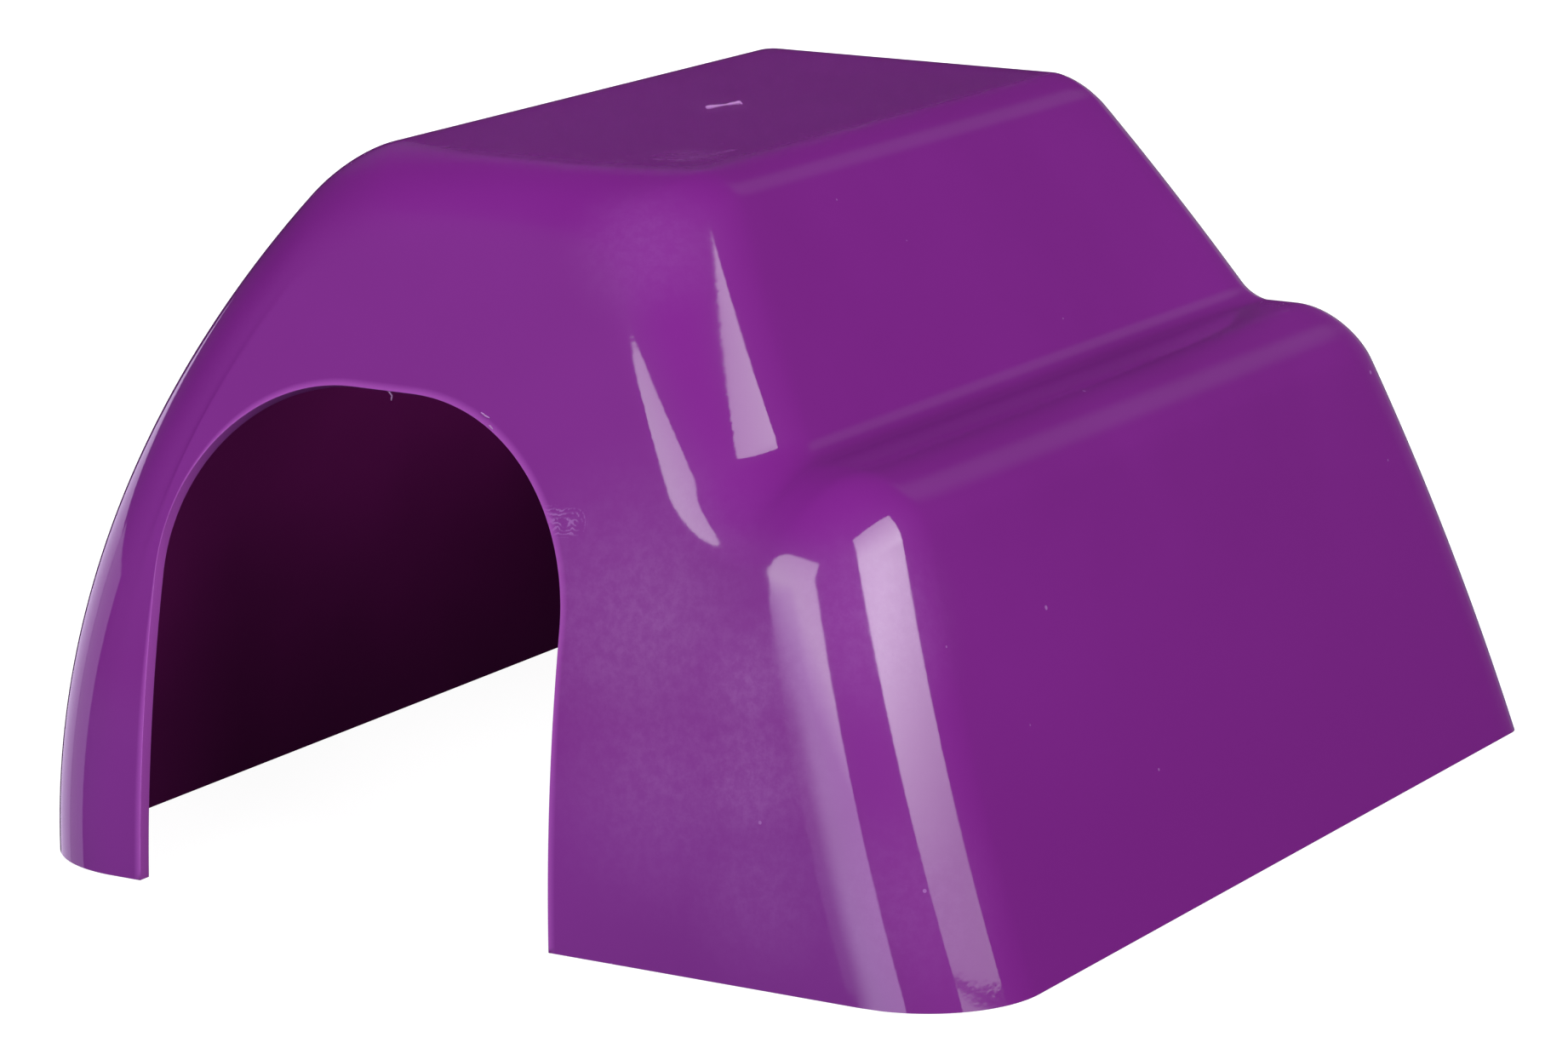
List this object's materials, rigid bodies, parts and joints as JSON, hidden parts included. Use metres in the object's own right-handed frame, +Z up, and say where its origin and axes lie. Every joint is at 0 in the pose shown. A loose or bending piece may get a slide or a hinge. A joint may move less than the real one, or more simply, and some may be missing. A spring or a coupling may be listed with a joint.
{
  "type": "guinea pig house",
  "caption": "Moulded plastic shelter for a guinea pig: open underneath, with curved sloping walls, a flat roof, a ledge along the right side and an arched doorway.",
  "frame": {"origin": "middle of the base, in the plane that the house stands on", "axes": "+X to the right as seen from the doorway side, towards the ledge; +Y from the doorway to the rear wall; +Z up"},
  "size_m": [0.232, 0.26, 0.15],
  "materials": {
    "house_plastic": "glossy moulded purple polypropylene"
  },
  "bodies": {
    "root": {"house_shell": "house_plastic"}
  },
  "joints": []
}
